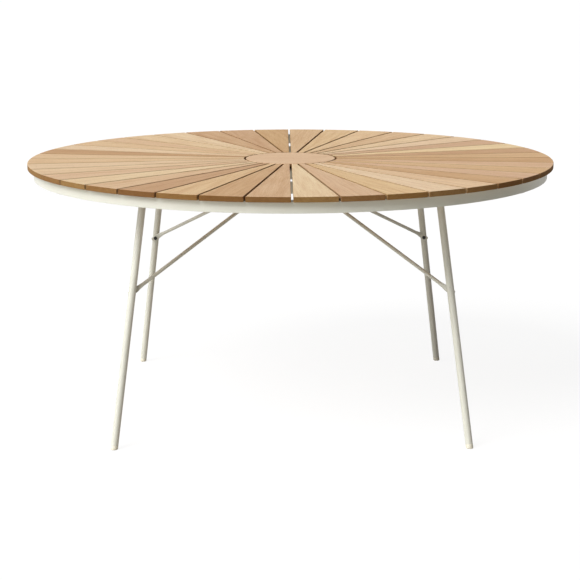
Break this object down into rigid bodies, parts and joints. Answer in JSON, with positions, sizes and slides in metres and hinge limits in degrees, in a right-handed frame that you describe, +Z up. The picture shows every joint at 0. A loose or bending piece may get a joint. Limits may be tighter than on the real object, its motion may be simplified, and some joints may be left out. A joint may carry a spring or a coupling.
{
  "type": "garden table",
  "caption": "Round garden table: radial hardwood slats around a small centre disc, on a painted steel rim with cross bars, splayed tube legs and slanting braces to a middle hub.",
  "frame": {"origin": "on the ground, under the centre of the round top", "axes": "+Z up through the centre of the top, +X to the right and -Y towards the viewer of the picture; the cross bars run along X"},
  "size_m": [1.5, 1.5, 0.725],
  "materials": {
    "teak": "planed and oiled, satin",
    "painted_steel": "powder-coated cream white, satin",
    "bolt_steel": "blackened, satin",
    "foot_plastic": "moulded, matt"
  },
  "bodies": {
    "root": {"brace_bolts": "bolt_steel", "brace_hub": "painted_steel", "centre_disc": "teak", "centre_ring": "painted_steel", "front_cross_bar": "painted_steel", "front_left_brace": "painted_steel", "front_left_foot_cap": "foot_plastic", "front_left_leg": "painted_steel", "front_right_brace": "painted_steel", "front_right_foot_cap": "foot_plastic", "front_right_leg": "painted_steel", "leg_bolts": "bolt_steel", "outer_ring": "painted_steel", "rear_cross_bar": "painted_steel", "rear_left_brace": "painted_steel", "rear_left_foot_cap": "foot_plastic", "rear_left_leg": "painted_steel", "rear_right_brace": "painted_steel", "rear_right_foot_cap": "foot_plastic", "rear_right_leg": "painted_steel", "slat_01": "teak", "slat_02": "teak", "slat_03": "teak", "slat_04": "teak", "slat_05": "teak", "slat_06": "teak", "slat_07": "teak", "slat_08": "teak", "slat_09": "teak", "slat_10": "teak", "slat_11": "teak", "slat_12": "teak", "slat_13": "teak", "slat_14": "teak", "slat_15": "teak", "slat_16": "teak", "slat_17": "teak", "slat_18": "teak", "slat_19": "teak", "slat_20": "teak", "slat_21": "teak", "slat_22": "teak", "slat_23": "teak", "slat_24": "teak", "slat_25": "teak", "slat_26": "teak", "slat_27": "teak", "slat_28": "teak", "slat_29": "teak", "slat_30": "teak", "slat_31": "teak", "slat_32": "teak", "slat_33": "teak", "slat_34": "teak", "slat_35": "teak", "slat_36": "teak", "slat_37": "teak", "slat_38": "teak", "slat_39": "teak", "slat_40": "teak"}
  },
  "joints": []
}
